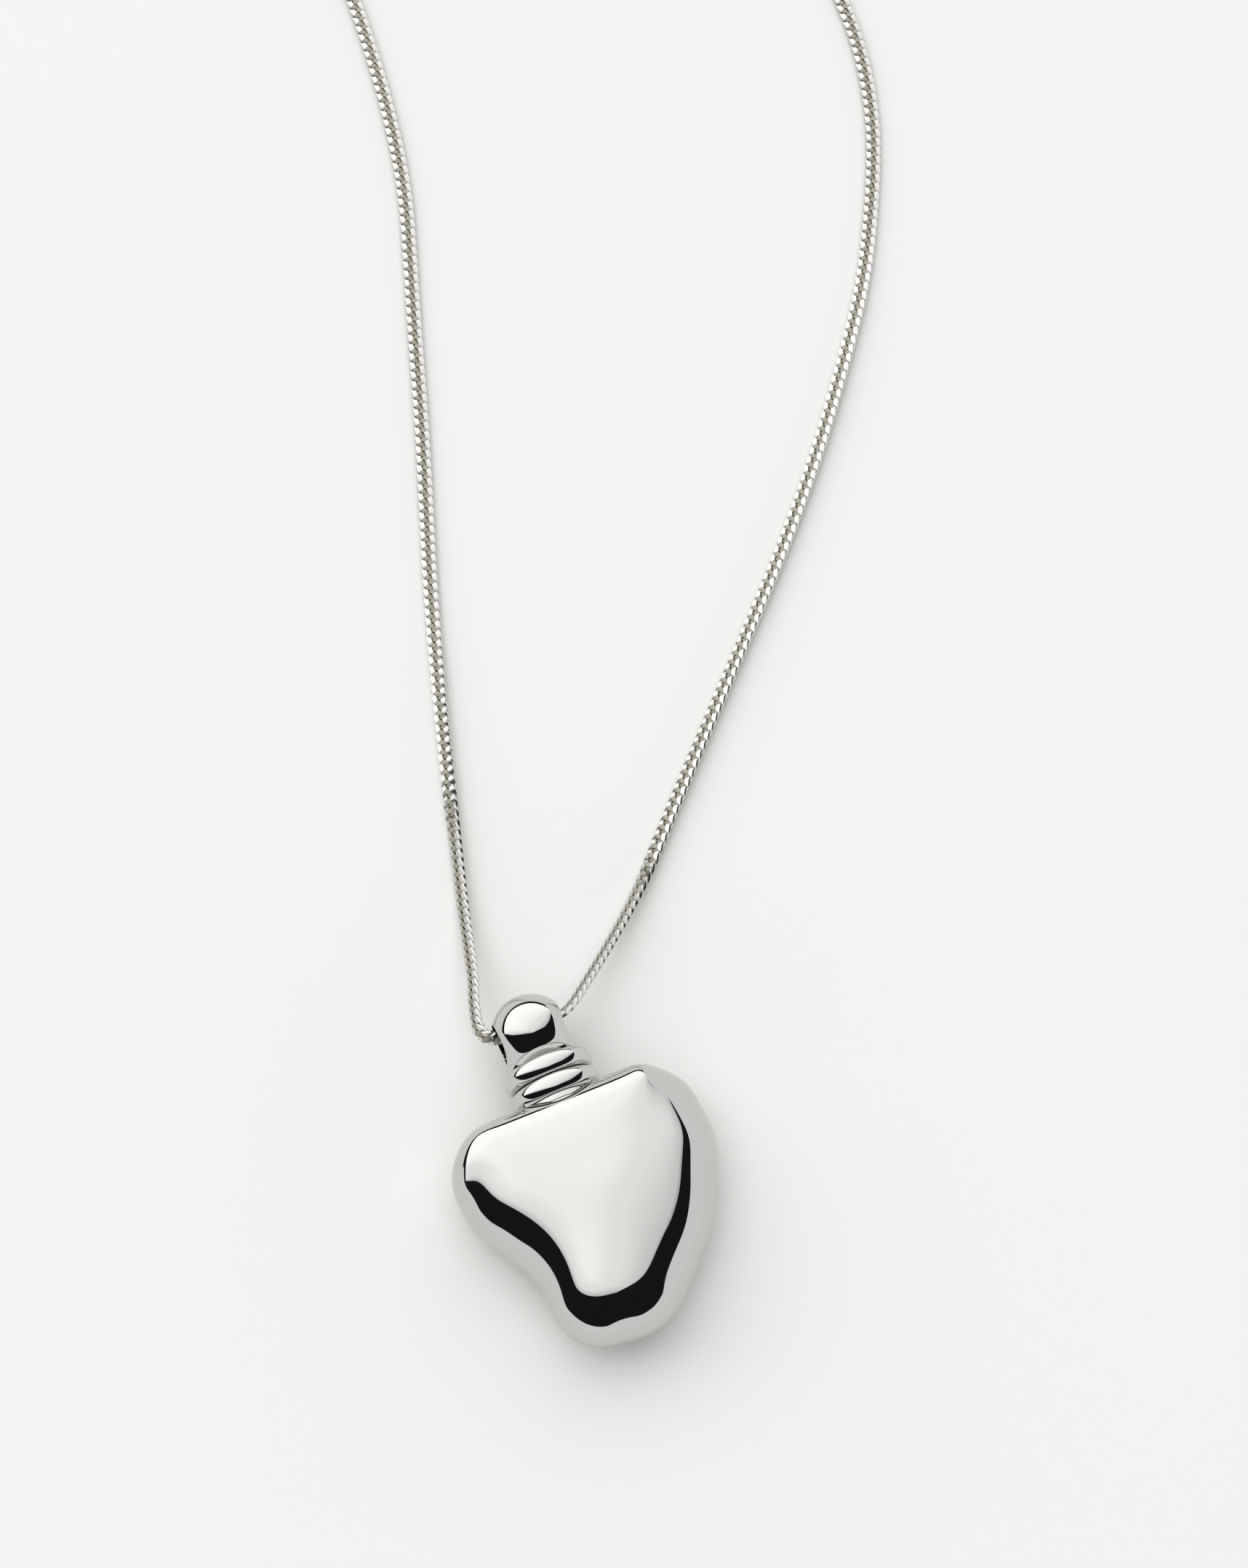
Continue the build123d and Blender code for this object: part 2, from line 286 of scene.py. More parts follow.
@dataclass(frozen=True)
class WorkedMetal:
    """Metal with a fine directionless grain, as tumbled or filed, or darkened with painted shade in the
    recesses.

    Attributes:
        name: the finish's name.
        light: sRGB colour of the clean metal; in the recess finish it is darkened by painted shade.
        dark: sRGB colour of the darker grains of its random tone; in the recess finish it is darkened
            further by painted shade.
        roughness: how dull it is.
        grain_mm: size of the grain.
        depth: bump strength.
    """

    name: str
    light: str
    dark: str
    roughness: float
    grain_mm: float
    depth: float = 0.1

    def make(self) -> bpy.types.Material:
        """Builds the node material.

        Returns:
            The material.
        """
        material, tree = new_material(self.name)
        place = add_node(tree, "ShaderNodeTexCoord")
        grain = add_node(
            tree,
            "ShaderNodeTexNoise",
            values={"Scale": 1000 / self.grain_mm, "Detail": 3.0, "Roughness": 0.6},
            links={"Vector": place.outputs["Object"]},
        )
        tone = add_node(
            tree,
            "ShaderNodeMix",
            settings={"data_type": "RGBA"},
            values={"A": linear(self.dark), "B": linear(self.light)},
            links={"Factor": grain.outputs["Fac"]},
        )
        rough = add_node(
            tree,
            "ShaderNodeMapRange",
            values={"To Min": self.roughness * 0.7, "To Max": self.roughness * 1.3},
            links={"Value": grain.outputs["Fac"]},
        )
        bump = add_node(
            tree,
            "ShaderNodeBump",
            values={"Strength": self.depth, "Distance": self.grain_mm * 0.1 * MM},
            links={"Height": grain.outputs["Fac"]},
        )
        shader = add_node(
            tree,
            "ShaderNodeBsdfPrincipled",
            values={"Metallic": 1.0},
            links={
                "Base Color": tone.outputs["Result"],
                "Roughness": rough.outputs["Result"],
                "Normal": bump.outputs["Normal"],
            },
        )
        add_node(tree, "ShaderNodeOutputMaterial", links={"Surface": shader.outputs["BSDF"]})
        return material


@dataclass(frozen=True)
class MouldedRubber:
    """Nitrile rubber, moulded: near black, with a soft sheen broken by a fine mould grain.

    Attributes:
        name: the finish's name.
        light: sRGB colour of the grain's tops.
        dark: sRGB colour between them.
        grain_mm: size of the grain.
    """

    name: str = "nitrile_rubber_moulded"
    light: str = "#2A2A2B"
    dark: str = "#1B1B1C"
    grain_mm: float = 0.15

    def make(self) -> bpy.types.Material:
        """Builds the node material.

        Returns:
            The material.
        """
        material, tree = new_material(self.name)
        place = add_node(tree, "ShaderNodeTexCoord")
        grain = add_node(
            tree,
            "ShaderNodeTexNoise",
            values={"Scale": 1000 / self.grain_mm, "Detail": 2.0},
            links={"Vector": place.outputs["Object"]},
        )
        tone = add_node(
            tree,
            "ShaderNodeMix",
            settings={"data_type": "RGBA"},
            values={"A": linear(self.dark), "B": linear(self.light)},
            links={"Factor": grain.outputs["Fac"]},
        )
        shader = add_node(
            tree,
            "ShaderNodeBsdfPrincipled",
            values={"Roughness": 0.6, "IOR": 1.52},
            links={"Base Color": tone.outputs["Result"]},
        )
        add_node(tree, "ShaderNodeOutputMaterial", links={"Surface": shader.outputs["BSDF"]})
        return material


@dataclass(frozen=True)
class TablePaper:
    """Matt card, rolled: near white and without a gleam, with a barely visible tooth.

    Attributes:
        name: the finish's name.
        colour: sRGB colour of the card.
        tooth_scale: how many grains of tooth there are in a metre.
        tooth_mm: height of the tooth.
    """

    name: str = "matt_card"
    colour: str = "#F3F3F1"
    tooth_scale: float = 900.0
    tooth_mm: float = 0.05

    def make(self) -> bpy.types.Material:
        """Builds the node material.

        Returns:
            The material.
        """
        material, tree = new_material(self.name)
        place = add_node(tree, "ShaderNodeTexCoord")
        tooth = add_node(
            tree,
            "ShaderNodeTexNoise",
            values={"Scale": self.tooth_scale, "Detail": 2.0},
            links={"Vector": place.outputs["Object"]},
        )
        bump = add_node(
            tree,
            "ShaderNodeBump",
            values={"Strength": 0.05, "Distance": self.tooth_mm * MM},
            links={"Height": tooth.outputs["Fac"]},
        )
        shader = add_node(
            tree,
            "ShaderNodeBsdfPrincipled",
            values={"Base Color": linear(self.colour), "Roughness": 0.9, "Specular IOR Level": 0.1},
            links={"Normal": bump.outputs["Normal"]},
        )
        add_node(tree, "ShaderNodeOutputMaterial", links={"Surface": shader.outputs["BSDF"]})
        return material


# ---------------------------------------------------------------- studio


@dataclass(frozen=True)
class LightCard:
    """An emitting card: its glow rises from its near edges to its middle.

    Attributes:
        name: the card's name.
        outline: corners as right, far and up from the pendant, in metres.
        glow: radiance at its brightest.
        ramp: pairs of distance from the edge, in metres, and share of the glow.
        edges: each fading edge as a point on it, the direction inwards and how quickly it fades.
    """

    name: str
    outline: tuple[Point, ...]
    glow: float
    ramp: tuple[Pair, ...] = ()
    edges: tuple[tuple[Pair, Pair, float], ...] = ()

    def material(self) -> bpy.types.Material:
        """Builds the card's emission, with its fall-off towards the edges.

        Returns:
            The material.
        """
        material, tree = new_material(self.name)
        white = (1, 1, 1, 1)
        glow = add_node(tree, "ShaderNodeEmission", values={"Color": white, "Strength": self.glow})
        if self.edges:
            place = add_node(tree, "ShaderNodeTexCoord")
            depths = []
            for point, inward, quickness in self.edges:
                start = VIEW_RIGHT * point[0] + VIEW_FAR * point[1]
                normal = (VIEW_RIGHT * inward[0] + VIEW_FAR * inward[1]).normalized() * quickness
                reach = add_node(
                    tree,
                    "ShaderNodeVectorMath",
                    settings={"operation": "DOT_PRODUCT"},
                    values={1: normal},
                    links={0: place.outputs["Object"]},
                )
                depths.append(
                    add_node(
                        tree,
                        "ShaderNodeMath",
                        settings={"operation": "SUBTRACT"},
                        values={1: start.dot(normal)},
                        links={0: reach.outputs["Value"]},
                    ).outputs[0]
                )
            depth = depths[0]
            for other in depths[1:]:
                depth = add_node(
                    tree,
                    "ShaderNodeMath",
                    settings={"operation": "MINIMUM"},
                    links={0: depth, 1: other},
                ).outputs[0]
            longest = self.ramp[-1][0]
            share = add_node(
                tree,
                "ShaderNodeMath",
                settings={"operation": "DIVIDE"},
                values={1: longest},
                links={0: depth},
            )
            ramp = add_node(tree, "ShaderNodeValToRGB", links={"Fac": share.outputs[0]})
            ramp.color_ramp.interpolation = "EASE"
            for index, (distance, level) in enumerate(self.ramp):
                stops = ramp.color_ramp.elements
                stop = stops[index] if index < 2 else stops.new(distance / longest)
                stop.position = distance / longest
                stop.color = (level, level, level, 1)
            strength = add_node(
                tree,
                "ShaderNodeMath",
                settings={"operation": "MULTIPLY"},
                values={1: self.glow},
                links={0: ramp.outputs["Color"]},
            )
            tree.links.new(strength.outputs[0], glow.inputs["Strength"])
        add_node(tree, "ShaderNodeOutputMaterial", links={"Surface": glow.outputs["Emission"]})
        return material

    def build(self) -> bpy.types.Object:
        """Makes the card, which lights the scene but isn't seen directly.

        Returns:
            The card.
        """
        corners = [VIEW_RIGHT * x + VIEW_FAR * y + Vector((0, 0, z)) for x, y, z in self.outline]
        mesh = bpy.data.meshes.new(self.name)
        mesh.from_pydata(corners, [], [tuple(range(len(corners)))])
        card = bpy.data.objects.new(self.name, mesh)
        bpy.context.scene.collection.objects.link(card)
        mesh.materials.append(self.material())
        card.visible_camera = False
        card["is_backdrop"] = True
        LOG.info("light card %s", self.name)
        return card


@dataclass(frozen=True)
class Studio:
    """Camera, table and lights.

    Attributes:
        eye_mm: where the camera stands.
        target_mm: what it looks at.
        lens_mm: focal length on a 36 mm sensor.
        height: height of the overhead light, in metres.
        softbox: its outline as right and far of the pendant, in heights.
        softbox_glow: its radiance at its brightest.
        ramp: pairs of distance from a fading edge, in heights, and share of the glow.
        fades: its fading edges, each a point in heights, the direction inwards and the quickness.
        wall: view azimuth and elevation of the low wall's upper edge, in degrees.
        wall_out: how far out the wall stands, in metres.
        wall_glow: the wall's radiance.
        fill: strength of the fill that lights the table and isn't seen in the metal.
        fill_elevation: its height over the near side of the table, in degrees.
        fill_angle: how wide the fill is, in degrees, which softens the shadows.
        room_glow: radiance of the near-black room.
        table_size: side of the table top, in metres.
        table_drop: how far it lies under the resting plane, in metres.
    """

    eye_mm: Point = (-36.2, -96.3, 382.5)
    target_mm: Point = (17.1, 32.3, 0.0)
    lens_mm: float = 104.0
    height: float = 3.0
    softbox: tuple[Pair, ...] = (
        (-6.5, -0.25),
        (0.122, -0.301),
        (0.748, 0.092),
        (1.52, 1.105),
        (5.64, 6.5),
        (-6.5, 6.5),
    )
    softbox_glow: float = 1.65
    ramp: tuple[Pair, ...] = ((0.0, 0.34), (0.1, 0.54), (0.35, 0.74), (0.8, 0.92), (1.3, 1.0))
    fades: tuple[tuple[Pair, Pair, float], ...] = (
        ((0.122, -0.301), (-0.008, 1.0), 2.4),
        ((0.748, 0.092), (-0.795, 0.606), 0.8),
    )
    wall: tuple[Pair, ...] = (
        (25, 3),
        (40, 10),
        (55, 17),
        (70, 22),
        *((azimuth, 24) for azimuth in range(90, 191, 20)),
        (210, 23),
        (230, 21),
        (245, 17),
        (260, 10),
        (272, 3),
    )
    wall_out: float = 5.0
    wall_glow: float = 0.92
    fill: float = 0.97
    fill_elevation: float = 65.0
    fill_angle: float = 70.0
    room_glow: float = 0.012
    table_size: float = 200.0
    table_drop: float = 0.00002

    def camera(self) -> None:
        """Adds the camera."""
        clear_selection()
        eye, target = mm(self.eye_mm), mm(self.target_mm)
        turn = (target - eye).to_track_quat("-Z", "Y").to_euler()
        bpy.ops.object.camera_add(location=eye, rotation=turn)
        camera = bpy.context.object
        camera.name = "camera"
        camera.data.lens = self.lens_mm
        camera.data.sensor_width = 36.0
        camera.data.clip_start = 0.01
        bpy.context.scene.camera = camera

    def table(self) -> None:
        """Adds the pale table top."""
        clear_selection()
        bpy.ops.mesh.primitive_plane_add(size=self.table_size, location=(0, 0, -self.table_drop))
        table = bpy.context.object
        table.name = "table_top"
        table.data.materials.append(TablePaper().make())
        table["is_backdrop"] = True

    def lights(self) -> None:
        """Adds the overhead light, the low pale wall, a fill for the table and a near-black room."""
        h = self.height
        LightCard(
            name="overhead_softbox",
            outline=tuple((x * h, y * h, h) for x, y in self.softbox),
            glow=self.softbox_glow,
            ramp=tuple((distance * h, level) for distance, level in self.ramp),
            edges=tuple(((x * h, y * h), inward, quickness) for (x, y), inward, quickness in self.fades),
        ).build()
        rim = []
        for azimuth, elevation in self.wall:
            turn = math.radians(azimuth)
            rise = self.wall_out * math.tan(math.radians(elevation))
            rim.append((self.wall_out * math.sin(turn), self.wall_out * math.cos(turn), rise))
        for index, (start, stop) in enumerate(zip(rim, rim[1:])):
            LightCard(
                name=f"low_wall_{index}",
                outline=((*start[:2], 0.0), (*stop[:2], 0.0), stop, start),
                glow=self.wall_glow,
            ).build()
        clear_selection()
        slope = math.radians(self.fill_elevation)
        falls = VIEW_FAR * math.cos(slope) - Vector((0, 0, math.sin(slope)))
        turn = falls.to_track_quat("-Z", "Y").to_euler()
        bpy.ops.object.light_add(type="SUN", location=(0, 0, 1), rotation=turn)
        fill = bpy.context.object
        fill.name = "table_fill"
        fill.data.energy = self.fill
        fill.data.angle = math.radians(self.fill_angle)
        fill.visible_glossy = False
        world = bpy.data.worlds.new("dark_room")
        world.use_nodes = True
        background = world.node_tree.nodes["Background"]
        background.inputs["Color"].default_value = linear("#FFFFFF")
        background.inputs["Strength"].default_value = self.room_glow
        bpy.context.scene.world = world
        bpy.context.scene.view_settings.view_transform = "Standard"

    def build(self) -> None:
        """Builds the whole studio."""
        self.camera()
        self.table()
        self.lights()
        LOG.info("studio ready")


# ---------------------------------------------------------------- chain


@dataclass(frozen=True)
class CurbLink:
    """One link of a filed curb chain, in millimetres.

    Attributes:
        half_long: half length of the wire's centreline.
        half_wide: half width of the wire's centreline.
        twist: how far the wire rises and dips.
        wire_r: radius of the wire.
        around: steps round the link.
        hand: which way the link is twisted.
        filed_mm: height of the filed faces over the middle.
        fullness: 1 for an oval link, less for straighter sides.
        section_deg: corners of the wire's section, flat above and below where it is filed.
        ahead: how far round the link its direction is read, in radians.
        lobe_z: faces higher than this over the middle can be filed lobes.
        lobe_y: they also lie further out than this.
        edge_y: every face further out than this is a polished outer edge.
    """

    half_long: float = 0.77
    half_wide: float = 0.47
    twist: float = 0.20
    wire_r: float = 0.27
    around: int = 12
    hand: int = -1
    filed_mm: float = 0.25
    fullness: float = 0.9
    section_deg: tuple[int, ...] = (0, 40, 140, 180, 220, 320)
    ahead: float = 0.05
    lobe_z: float = 0.22
    lobe_y: float = 0.2
    edge_y: float = 0.42

    def section(self) -> tuple[float, ...]:
        """Angles of the wire's corners, in radians."""
        return tuple(math.radians(a) for a in self.section_deg)

    def shines(self, middle: Vector) -> bool:
        """Tells whether a face is bright: a filed lobe above or below, or the outer edge; the other faces
        get the recess finish with its painted shade.

        Args:
            middle: the face's middle, along, across and up.

        Returns:
            True where it is.
        """
        on_lobe = abs(middle.z) > self.lobe_z and abs(middle.y) > self.lobe_y
        return on_lobe or abs(middle.y) > self.edge_y

    def wire(self, turn: float) -> Vector:
        """A point on the wire's centreline.

        Args:
            turn: angle round the link.

        Returns:
            The point along, across and up.
        """
        side = math.copysign(abs(math.sin(turn)) ** self.fullness, math.sin(turn))
        return Vector(
            (
                self.half_long * math.cos(turn),
                self.hand * self.half_wide * side,
                -self.twist * math.sin(2 * turn),
            )
        )

    def rings(self) -> list[list[Vector]]:
        """The wire's cross-sections round the link.

        Returns:
            One list of points for each step, along, across and up.
        """
        rings = []
        for step in range(self.around):
            t = 2 * math.pi * (step + 0.5) / self.around
            centre = self.wire(t)
            along = (self.wire(t + self.ahead) - self.wire(t - self.ahead)).normalized()
            side = along.cross(Vector((0, 0, 1))).normalized()
            up = side.cross(along)
            ring = []
            for angle in self.section():
                corner = centre + side * (self.wire_r * math.cos(angle))
                corner += up * (self.wire_r * math.sin(angle))
                corner.z = max(-self.filed_mm, min(self.filed_mm, corner.z))
                ring.append(corner)
            rings.append(ring)
        return rings


@dataclass(frozen=True)
class ChainStrand:
    """One strand of the curb chain, from the stopper's cross hole to its end ring.

    Attributes:
        name: the strand's name.
        route_mm: points of its route.
        rolls: pairs of distance along it, in mm, and the chain's roll there, in degrees.
        pitches: pairs of distance along it, in mm, and the distance from link to link there.
        node: the CAD node that it stands for.
        on_it: CAD nodes on its far end; not used.
        link: the link.
        first_gap: from the strand's start to its first link's middle, in mm.
        last_gap: what is left free before the strand's end, in mm.
        half_width: half the chain's width, in mm, which keeps a rolled link over the table.
        clearance: gap to the table, in mm.
    """

    name: str
    route_mm: tuple[Point, ...]
    rolls: tuple[Pair, ...]
    pitches: tuple[Pair, ...]
    node: str
    on_it: tuple[str, ...]
    link: CurbLink = CurbLink()
    first_gap: float = 0.4
    last_gap: float = 0.3
    half_width: float = 0.72
    clearance: float = 0.02

    def route(self) -> list[Vector]:
        """The route as points close together, read from one smooth curve.

        Returns:
            Points in metres.
        """
        curve = bpy.data.curves.new(self.name + "_route", "CURVE")
        curve.dimensions = "3D"
        curve.resolution_u = 24
        spline = curve.splines.new("NURBS")
        spline.points.add(len(self.route_mm) - 1)
        for control, place in zip(spline.points, self.route_mm):
            control.co = (*mm(place), 1.0)
        spline.order_u = 3
        spline.use_endpoint_u = True
        holder = bpy.data.objects.new(self.name + "_route", curve)
        bpy.context.scene.collection.objects.link(holder)
        bpy.context.view_layer.update()
        line = bpy.data.meshes.new_from_object(holder)
        points = [v.co.copy() for v in line.vertices]
        bpy.data.objects.remove(holder)
        bpy.data.meshes.remove(line)
        bpy.data.curves.remove(curve)
        return points

    @staticmethod
    def between(stops: tuple[Pair, ...], place: float) -> float:
        """The value at a place between given stops.

        Args:
            stops: pairs of place and value.
            place: where to read.

        Returns:
            The value, eased from stop to stop.
        """
        if place <= stops[0][0]:
            return stops[0][1]
        for (a, low), (b, high) in zip(stops, stops[1:]):
            if place <= b:
                share = (place - a) / (b - a)
                return low + (high - low) * share * share * (3 - 2 * share)
        return stops[-1][1]

    def build(self, filed: bpy.types.Material, recess: bpy.types.Material) -> bpy.types.Object:
        """Lays the links along the route.

        Args:
            filed: finish of the filed faces and the outer edges.
            recess: finish of the wire between them, darkened with painted shade.

        Returns:
            The strand.
        """
        route = self.route()
        reach = [0.0]
        for a, b in zip(route, route[1:]):
            reach.append(reach[-1] + (b - a).length)
        rings = self.link.rings()
        sides = len(rings[0])
        verts: list[Vector] = []
        faces: list[tuple[int, ...]] = []
        bright: list[bool] = []
        place, index = self.first_gap * MM, 0
        while place < reach[-1] - self.last_gap * MM:
            while reach[index + 1] < place:
                index += 1
            share = (place - reach[index]) / (reach[index + 1] - reach[index])
            centre = route[index].lerp(route[index + 1], share)
            ahead = (route[min(index + 6, len(route) - 1)] - route[max(index - 5, 0)]).normalized()
            across = ahead.cross(Vector((0, 0, 1))).normalized()
            up = across.cross(ahead)
            turn = Matrix.Rotation(math.radians(self.between(self.rolls, place / MM)), 3, ahead)
            across, up = turn @ across, turn @ up
            lowest = self.half_width * abs(across.z) + self.link.filed_mm * abs(up.z) + self.clearance
            centre = Vector((centre.x, centre.y, max(centre.z, lowest * MM)))
            first = len(verts)
            for ring in rings:
                verts.extend(centre + (ahead * p.x + across * p.y + up * p.z) * MM for p in ring)
            count = len(rings)
            for i in range(count):
                for j in range(sides):
                    corners = (
                        (i, j),
                        (i, (j + 1) % sides),
                        ((i + 1) % count, (j + 1) % sides),
                        ((i + 1) % count, j),
                    )
                    faces.append(tuple(first + a * sides + b for a, b in corners))
                    middle = sum((rings[a][b] for a, b in corners), Vector()) / 4
                    bright.append(self.link.shines(middle))
            place += self.between(self.pitches, place / MM) * MM
        mesh = bpy.data.meshes.new(self.name)
        mesh.from_pydata(verts, [], faces)
        strand = bpy.data.objects.new(self.name, mesh)
        bpy.context.scene.collection.objects.link(strand)
        mesh.materials.append(filed)
        mesh.materials.append(recess)
        # Faces that don't shine get the recess finish, whose darker colour is painted shade.
        for face, shines in zip(mesh.polygons, bright):
            face.material_index = 0 if shines else 1
        settle(strand, self.name, 35.0)
        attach(strand, "chain")
        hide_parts(self.node)
        LOG.info("piece %s: %d links, %.1f mm", self.name, len(faces) // (count * sides), reach[-1] / MM)
        return strand


# ---------------------------------------------------------------- turned parts


@dataclass(frozen=True)
class TurnedPart:
    """A part turned on the neck's axis: its outline is spun round and flattened if asked.

    Attributes:
        name: the piece's name.
        profile_mm: radius and height from the groove at the dome's foot.
        steps: steps round the axis.
        flatness: depth from front to back as a share of the width.
        axis_x_mm: where the neck's axis runs, across.
        groove_y_mm: where the dome's foot is, along.
        mid_z_mm: the axis's height over the table.
    """

    name: str
    profile_mm: tuple[Pair, ...]
    steps: int = 96
    flatness: float = 1.0
    axis_x_mm: float = 0.19
    groove_y_mm: float = 9.80
    mid_z_mm: float = 4.2

    def place(self, radius: float, height: float) -> Vector:
        """A point of the outline, in metres."""
        return mm((self.axis_x_mm + radius, self.groove_y_mm + height, self.mid_z_mm))

    def spin(self) -> bpy.types.Object:
        """Spins the outline round the axis.

        Returns:
            The turned piece, unsmoothed.
        """
        clear_selection()
        points = [self.place(radius, height) for radius, height in self.profile_mm]
        mesh = bpy.data.meshes.new(self.name)
        mesh.from_pydata(points, [(i, i + 1) for i in range(len(points) - 1)], [])
        part = bpy.data.objects.new(self.name, mesh)
        bpy.context.scene.collection.objects.link(part)
        pick(part)
        bpy.ops.object.mode_set(mode="EDIT")
        bpy.ops.mesh.select_all(action="SELECT")
        bpy.ops.mesh.spin(
            steps=self.steps,
            angle=2 * math.pi,
            center=self.place(0, 0),
            axis=(0, 1, 0),
        )
        bpy.ops.mesh.select_all(action="SELECT")
        bpy.ops.mesh.remove_doubles(threshold=SEAM)
        bpy.ops.mesh.normals_make_consistent(inside=False)
        bpy.ops.object.mode_set(mode="OBJECT")
        for vertex in part.data.vertices:
            vertex.co.z = (self.mid_z_mm + (vertex.co.z / MM - self.mid_z_mm) * self.flatness) * MM
        return part

    def make(self, finish: bpy.types.Material, body: str, node: str, angle: float) -> None:
        """Spins the part and gives it its finish, its body and the CAD node that it stands for.

        Args:
            finish: its finish.
            body: the CAD body that it rides on.
            node: the CAD node that it replaces.
            angle: edges sharper than this many degrees stay crisp.
        """
        part = self.spin()
        settle(part, self.name, angle)
        dress(part, finish, body)
        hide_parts(node)


def arc(centre: Pair, radii: Pair, start: float, stop: float, steps: int) -> tuple[Pair, ...]:
    """Points on an elliptical arc.

    Args:
        centre: radius and height of the arc's centre.
        radii: its half width and half height.
        start: first angle, in degrees.
        stop: last angle, in degrees.
        steps: how many steps.

    Returns:
        Pairs of radius and height.
    """
    angles = [math.radians(start + (stop - start) * i / steps) for i in range(steps + 1)]
    return tuple((centre[0] + radii[0] * math.cos(a), centre[1] + radii[1] * math.sin(a)) for a in angles)


@dataclass(frozen=True)
class Stopper:
    """The dome that hangs on the chain, and the bead below it, in millimetres.

    Heights are from the groove at the dome's foot.

    Attributes:
        foot_r: the dome's radius at its foot.
        foot_h: how high the foot starts, just inside the bead.
        widest_r: its radius where it is widest.
        widest_h: height of its widest line.
        top_h: height of its top.
        side_steps: steps from the foot to the widest line.
        hole_from: height of the cross hole's lowest point.
        hole_tall: the hole's size along the axis.
        hole_wide: its size from front to back.
        drill_long: length of the tool that cuts it.
        lip: how far the hole's edges are rounded.
        ball_h: below this height the front and back curve in.
        ball: the curve's half length.
        core_r: how far in the bead's flat ends reach.
        bead_r: the bead's radius.
        bead_round: how far its round stands out.
        bead_mid: height of its middle.
        bead_half: half its thickness.
    """

    foot_r: float = 3.2
    foot_h: float = -0.2
    widest_r: float = 3.55
    widest_h: float = 2.75
    top_h: float = 6.3
    side_steps: int = 10
    hole_from: float = 0.4
    hole_tall: float = 4.35
    hole_wide: float = 4.2
    drill_long: float = 12
    lip: float = 0.3
    ball_h: float = 2.5
    ball: float = 3.25
    core_r: float = 3.0
    bead_r: float = 4.05
    bead_round: float = 0.6
    bead_mid: float = -1.05
    bead_half: float = 0.9

    def thinned(self, height: float) -> float:
        """Share of the dome's full depth at a height: like a ball's below its widest line.

        Args:
            height: height over the foot, in millimetres.

        Returns:
            The share.
        """
        below = max(0.0, self.ball_h - height) / self.ball
        return math.sqrt(max(0.0, 1 - below * below))

    def dome(self, finish: bpy.types.Material) -> bpy.types.Object:
        """Turns the dome, drills the cross hole and rounds its lips.

        Args:
            finish: the dome's finish.

        Returns:
            The dome.
        """
        below = [
            (
                self.foot_r + (self.widest_r - self.foot_r) * math.sin(math.pi / 2 * i / self.side_steps),
                self.foot_h + (self.widest_h - self.foot_h) * i / self.side_steps,
            )
            for i in range(self.side_steps)
        ]
        above = arc((0.0, self.widest_h), (self.widest_r, self.top_h - self.widest_h), 0, 90, ARC_STEPS)
        above = above[:-1] + ((0.0, self.top_h),)
        part = TurnedPart("dome", ((0.0, self.foot_h), *below, *above))
        dome = part.spin()
        for vertex in dome.data.vertices:
            share = self.thinned(vertex.co.y / MM - part.groove_y_mm)
            vertex.co.z = part.mid_z_mm * MM + (vertex.co.z - part.mid_z_mm * MM) * share
        settle(dome, "dome", 50)
        clear_selection()
        middle = part.place(0, self.hole_from + self.hole_tall / 2)
        bpy.ops.mesh.primitive_cylinder_add(
            vertices=64,
            radius=1.0,
            depth=self.drill_long * MM,
            location=middle,
        )
        cutter = bpy.context.object
        bpy.ops.object.mode_set(mode="EDIT")
        bpy.ops.mesh.select_all(action="SELECT")
        bpy.ops.transform.rotate(value=math.pi / 2, orient_axis="Y", center_override=middle)
        bpy.ops.object.mode_set(mode="OBJECT")
        for vertex in cutter.data.vertices:
            vertex.co.y *= self.hole_tall / 2 * MM
            vertex.co.z *= self.hole_wide / 2 * MM
        pick(cutter)
        bpy.ops.object.transform_apply(location=True, rotation=True, scale=True)
        pick(dome)
        drill = dome.modifiers.new("drill", "BOOLEAN")
        drill.operation = "DIFFERENCE"
        drill.solver = "EXACT"
        drill.object = cutter
        bpy.ops.object.modifier_apply(modifier="drill")
        bpy.data.objects.remove(cutter)
        lip = dome.modifiers.new("lip", "BEVEL")
        lip.width = self.lip * MM
        lip.segments = 4
        lip.limit_method = "ANGLE"
        lip.angle_limit = math.radians(35)
        lip.harden_normals = True
        bpy.ops.object.modifier_apply(modifier="lip")
        dress(dome, finish, "stopper")
        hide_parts("stopper_dome")
        return dome

    def build(self, finish: bpy.types.Material) -> None:
        """Builds the stopper's visible pieces.

        Args:
            finish: their finish.
        """
        self.dome(finish)
        low, high = -1.95, -0.15
        profile = (
            (0.0, low),
            (self.core_r, low),
            *arc(
                (self.bead_r - self.bead_round, self.bead_mid),
                (self.bead_round, self.bead_half),
                -90,
                90,
                ARC_STEPS,
            ),
            (self.core_r, high),
            (0.0, high),
        )
        bead = TurnedPart("stopper_bead_ring", profile, flatness=BEAD_FLATNESS)
        bead.make(finish, "stopper", "stopper_bead", 50)


